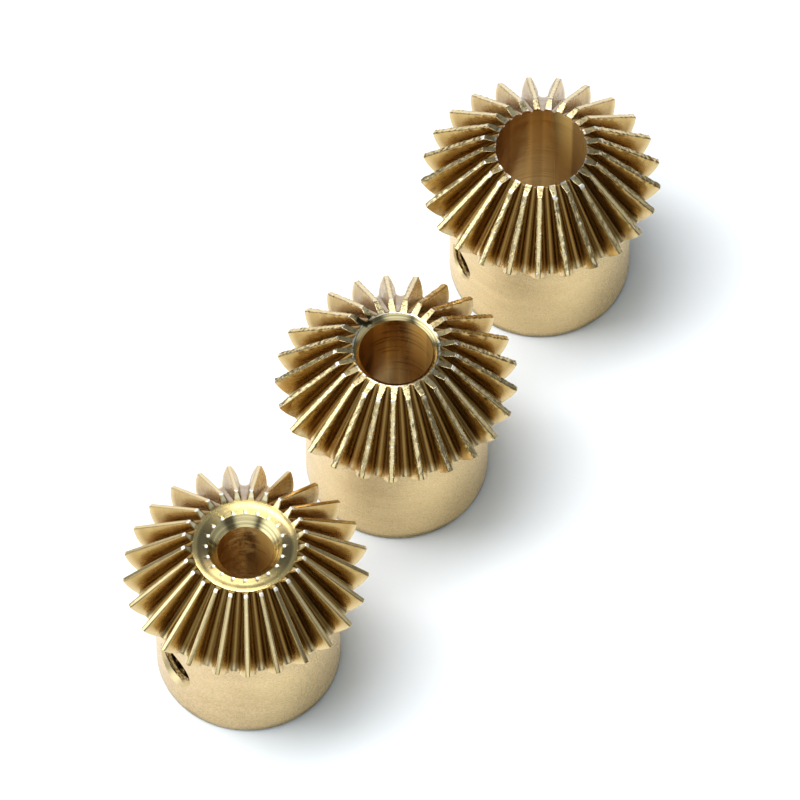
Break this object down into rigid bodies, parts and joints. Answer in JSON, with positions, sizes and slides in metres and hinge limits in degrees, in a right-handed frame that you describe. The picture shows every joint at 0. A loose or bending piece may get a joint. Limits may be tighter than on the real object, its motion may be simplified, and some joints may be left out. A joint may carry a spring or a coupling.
{
  "type": "bevel gear set",
  "caption": "Loose straight-toothed brass bevel gears for right-angle drives, alike in teeth and hub, each with a different round bore and a set screw across the hub.",
  "frame": {"origin": "middle of the set's outline, in the plane that the three hub back faces stand on", "axes": "+Z along every bore from hub to small tooth end; +Y along the longer side of the row's outline"},
  "size_m": [0.0586, 0.0762, 0.0234],
  "materials": {
    "gear_brass": "satin, machined",
    "screw_steel": "black oxide"
  },
  "bodies": {
    "gear_6mm": {"bevel_gear_6mm_bore": "gear_brass"},
    "screw_6mm": {"set_screw_6mm_gear": "screw_steel"},
    "gear_8mm": {"bevel_gear_8mm_bore": "gear_brass"},
    "screw_8mm": {"set_screw_8mm_gear": "screw_steel"},
    "gear_10mm": {"bevel_gear_10mm_bore": "gear_brass"},
    "screw_10mm": {"set_screw_10mm_gear": "screw_steel"}
  },
  "joints": [
    {"name": "gear_6mm_spin", "type": "hinge", "parent": "gear_8mm", "child": "gear_6mm", "pos_m": [-0.0161, -0.0249, 0], "axis": [0, 0, 1], "continuous": true},
    {"name": "screw_6mm_travel", "type": "slide", "parent": "gear_6mm", "child": "screw_6mm", "axis": [-0.8039, -0.5948, 0], "range_m": [-0.0008, 0.0064]},
    {"name": "screw_8mm_travel", "type": "slide", "parent": "gear_8mm", "child": "screw_8mm", "axis": [0.2588, 0.9659, 0], "range_m": [-0.0007, 0.0056]},
    {"name": "gear_10mm_spin", "type": "hinge", "parent": "gear_8mm", "child": "gear_10mm", "pos_m": [0.0161, 0.0249, 0], "axis": [0, 0, 1], "continuous": true},
    {"name": "screw_10mm_travel", "type": "slide", "parent": "gear_10mm", "child": "screw_10mm", "axis": [-0.891, -0.454, 0], "range_m": [-0.0007, 0.0049]}
  ]
}
